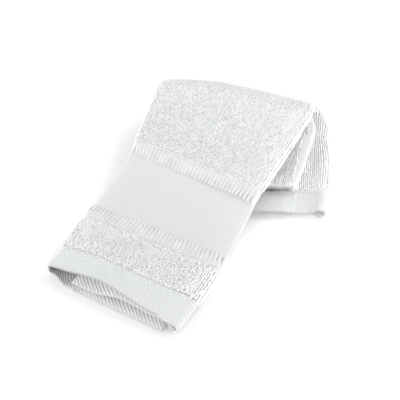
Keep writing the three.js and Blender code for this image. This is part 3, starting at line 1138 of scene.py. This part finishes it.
def pile_grid(cloth, rows):
    """The loops of one terry band, evenly spaced over the outer face: their points, normals,
    whether they are free to stand, their way round the ridge and how far they are spread."""
    normals = cloth.normals()
    flat = cloth.across[rows]
    columns = np.arange(flat.min(), flat.max(), LOOP_PITCH[0])
    values = []
    for r in rows:
        arc = cloth.across[r]
        above = cloth.outer[r, :, 2] + LOOP_ROOM * normals[r, :, 2] > LOOP_FLOOR
        seen = arc < arc[LAYER_MIDDLE] + cloth.rows[r].bottom_inset + SEEN_BESIDE
        bare = cloth.selvedge[r] > 0.5
        free = np.where(above & seen & ~bare, 1.0, 0.0)
        rear = np.full(len(arc), cloth.rear[r])
        spread = norm(np.gradient(cloth.outer[r], axis=0), axis=1) / np.gradient(arc)
        fields = np.column_stack([cloth.outer[r], normals[r], free, rear, spread])
        across = [np.interp(columns, arc, field, left=0, right=0) for field in fields.T]
        values.append(np.column_stack(across))
    values = np.array(values)
    steps = norm(np.diff(values[:, :, :3], axis=0), axis=2)
    runs = np.vstack([np.zeros(len(columns)), np.cumsum(steps, axis=0)])
    count = round(np.median(runs[-1]) / LOOP_PITCH[1])
    shares = (np.arange(count) + 0.5) / count
    grid = [
        [np.interp(shares * run[-1], run, field) for field in values[:, c].T]
        for c, run in enumerate(runs.T)
    ]
    return np.split(np.transpose(grid, (2, 0, 1)), (3, 6, 7, 8), axis=2)


def pile_points(cloth):
    """Where the loops stand, away from the selvedges and on the middle layer only as far as it
    shows: points, normals, directions along the strip, sizes and numbers of pieces."""
    parts = []
    for number, rows in enumerate(cloth.bands("terry")):
        coarse = number == 0
        points, normals, free, rear, spread = pile_grid(cloth, rows)
        up, ahead = unit(normals), unit(np.gradient(points, axis=0))
        aside = np.cross(up, ahead)
        bent = np.abs(aside[..., 2:])
        chance = np.random.default_rng(PILE_SEED + number).uniform(-1, 1, (2, *free.shape))
        stray = LOOP_STRAY[0] * (1 + bent) * chance[0] * aside + LOOP_STRAY[1] * chance[1] * ahead
        grown = 1 + SIDE_GROWTH * bent + REAR_GROWTH * smooth(rear * 2 - 1)
        size = (spread * grown).clip(*LOOP_SIZES)
        if coarse:
            stray[0] -= HEM_OVERHANG * np.abs(chance[1][0]) * ahead[0]
            size *= COARSE_SIZE
        for end in (0, -1):
            size[end] *= LAST_LOOP_SIZE
            stray[end] -= LAST_LOOP_DROP * up[end]
        places = points + stray * (COARSE_STRAY if coarse else 1.0)
        piece = np.where(rear > REAR_PIECE_START, 2, 0 if coarse else 1)[..., 0]
        keep = free[..., 0] > 0.99
        parts.append([field[keep] for field in (places, up, ahead, size, piece)])
    return [np.concatenate(fields) for fields in zip(*parts)]


class TOWEL_OT_ribs(bpy.types.Operator):
    """Raise the ribs of the two borders beside the smooth band"""

    bl_idname = "towel.ribs"
    bl_label = "Border ribs"

    def execute(self, context):
        sizes, finish, _ = settings()
        points, outward, forward = rib_points(FoldedCloth(sizes), sizes.rib_pitch / MM)
        guide = guide_points("border_ribs", points, outward, forward, np.ones(len(points)))
        shades = finish.groove_shade_and_yarn_colour, finish.rib_colour
        material = yarn_material("cotton_ribs", *shades, RIB_HAIRS, RIB_BUMP, finish.sheen)
        grow_on(guide, rib_tree(), sizes, RIB_SEED, material)
        return {"FINISHED"}


def rib_points(cloth, pitch):
    """The middles of the ribs of both borders, their normals and directions along the strip."""
    forwards = unit(np.gradient(cloth.outer, axis=0))
    grids = np.concatenate([cloth.outer, cloth.normals(), forwards], axis=2)
    found = []
    for border in cloth.bands("ribs"):
        r = border[len(border) // 2]
        arc = cloth.across[r]
        for u in np.arange(arc[0] + RIB_START, arc[LAYER_MIDDLE] + RIB_STOP, pitch):
            values = np.array([np.interp(u, arc, field) for field in grids[r].T])
            if values[5] > RIB_FACING:
                found.append(values.reshape(3, 3))
    return np.swapaxes(found, 0, 1)


class TOWEL_OT_declare(bpy.types.Operator):
    """Takes no step; it leaves the cloth, loops and ribs as they are"""

    bl_idname = "towel.declare"
    bl_label = "Declare the sheet"

    def execute(self, context):
        return {"FINISHED"}


class TOWEL_OT_studio(bpy.types.Operator):
    """Set up the pale floor, the soft light and the camera"""

    bl_idname = "towel.studio"
    bl_label = "Studio"

    def execute(self, context):
        _, _, studio = settings()
        self.floor(studio)
        self.light(studio)
        self.camera(studio)
        return {"FINISHED"}

    def floor(self, studio):
        far = FLOOR_REACH
        corners = [(-far, -far, 0), (far, -far, 0), (far, far, 0), (-far, far, 0)]
        piece = new_mesh_object("floor", corners, [(0, 1, 2, 3)])
        material, graph = new_material("pale_floor")
        surface(graph, {"Base Color": studio.floor_colour[:], "Roughness": 0.9})
        piece.data.materials.append(material)

    def light(self, studio):
        world = bpy.data.worlds.new("studio")
        world.use_nodes = True
        bpy.context.scene.world = world
        background = world.node_tree.nodes["Background"]
        background.inputs["Color"].default_value = (1, 1, 1, 1)
        background.inputs["Strength"].default_value = studio.sky
        for name, place, size, power in LIGHTS:
            lamp = bpy.data.lights.new(name, "AREA")
            lamp.shape = "SQUARE"
            lamp.size = size
            lamp.energy = power
            self.aim(new_object(name, lamp), place, Vector(place)).visible_camera = False

    def aim(self, item, place, back):
        """Puts a light or the camera at a place, with a direction at its back."""
        item.location = place
        item.rotation_euler = (-back).to_track_quat("-Z", "Y").to_euler()
        return item

    def camera(self, studio):
        a, e = studio.camera_azimuth, studio.camera_elevation
        back = Vector((math.sin(a) * math.cos(e), -math.cos(a) * math.cos(e), math.sin(e)))
        data = bpy.data.cameras.new("camera")
        data.lens = studio.lens
        data.sensor_width = 36.0
        data.clip_start = 0.05
        place = Vector(studio.camera_target) + back * studio.camera_distance
        bpy.context.scene.camera = self.aim(new_object("camera", data), place, back)
        bpy.context.scene.view_settings.view_transform = "Standard"


class TOWEL_PT_panel(bpy.types.Panel):
    """Lists the towel's pieces"""

    bl_label = "Folded towel"
    bl_space_type = "VIEW_3D"
    bl_region_type = "UI"
    bl_category = "Towel"

    def draw(self, context):
        for operator in OPERATORS:
            self.layout.operator(operator.bl_idname)


GROUPS = (
    ("towel_sizes", TowelSizes),
    ("towel_finish", TowelFinish),
    ("towel_studio", StudioSettings),
)
OPERATORS = (TOWEL_OT_studio, TOWEL_OT_cloth, TOWEL_OT_pile, TOWEL_OT_ribs, TOWEL_OT_declare)


add_classes, remove_classes = bpy.utils.register_classes_factory(
    (*(group for _, group in GROUPS), *OPERATORS, TOWEL_PT_panel)
)


def register():
    add_classes()
    for name, group in GROUPS:
        setattr(bpy.types.Scene, name, bpy.props.PointerProperty(type=group))


def unregister():
    for name, _ in GROUPS:
        delattr(bpy.types.Scene, name)
    remove_classes()


def main():
    register()
    bpy.ops.towel.studio()
    bpy.ops.towel.cloth()
    bpy.ops.towel.pile()
    bpy.ops.towel.ribs()
    bpy.ops.towel.declare()


if __name__ == "__main__":
    main()
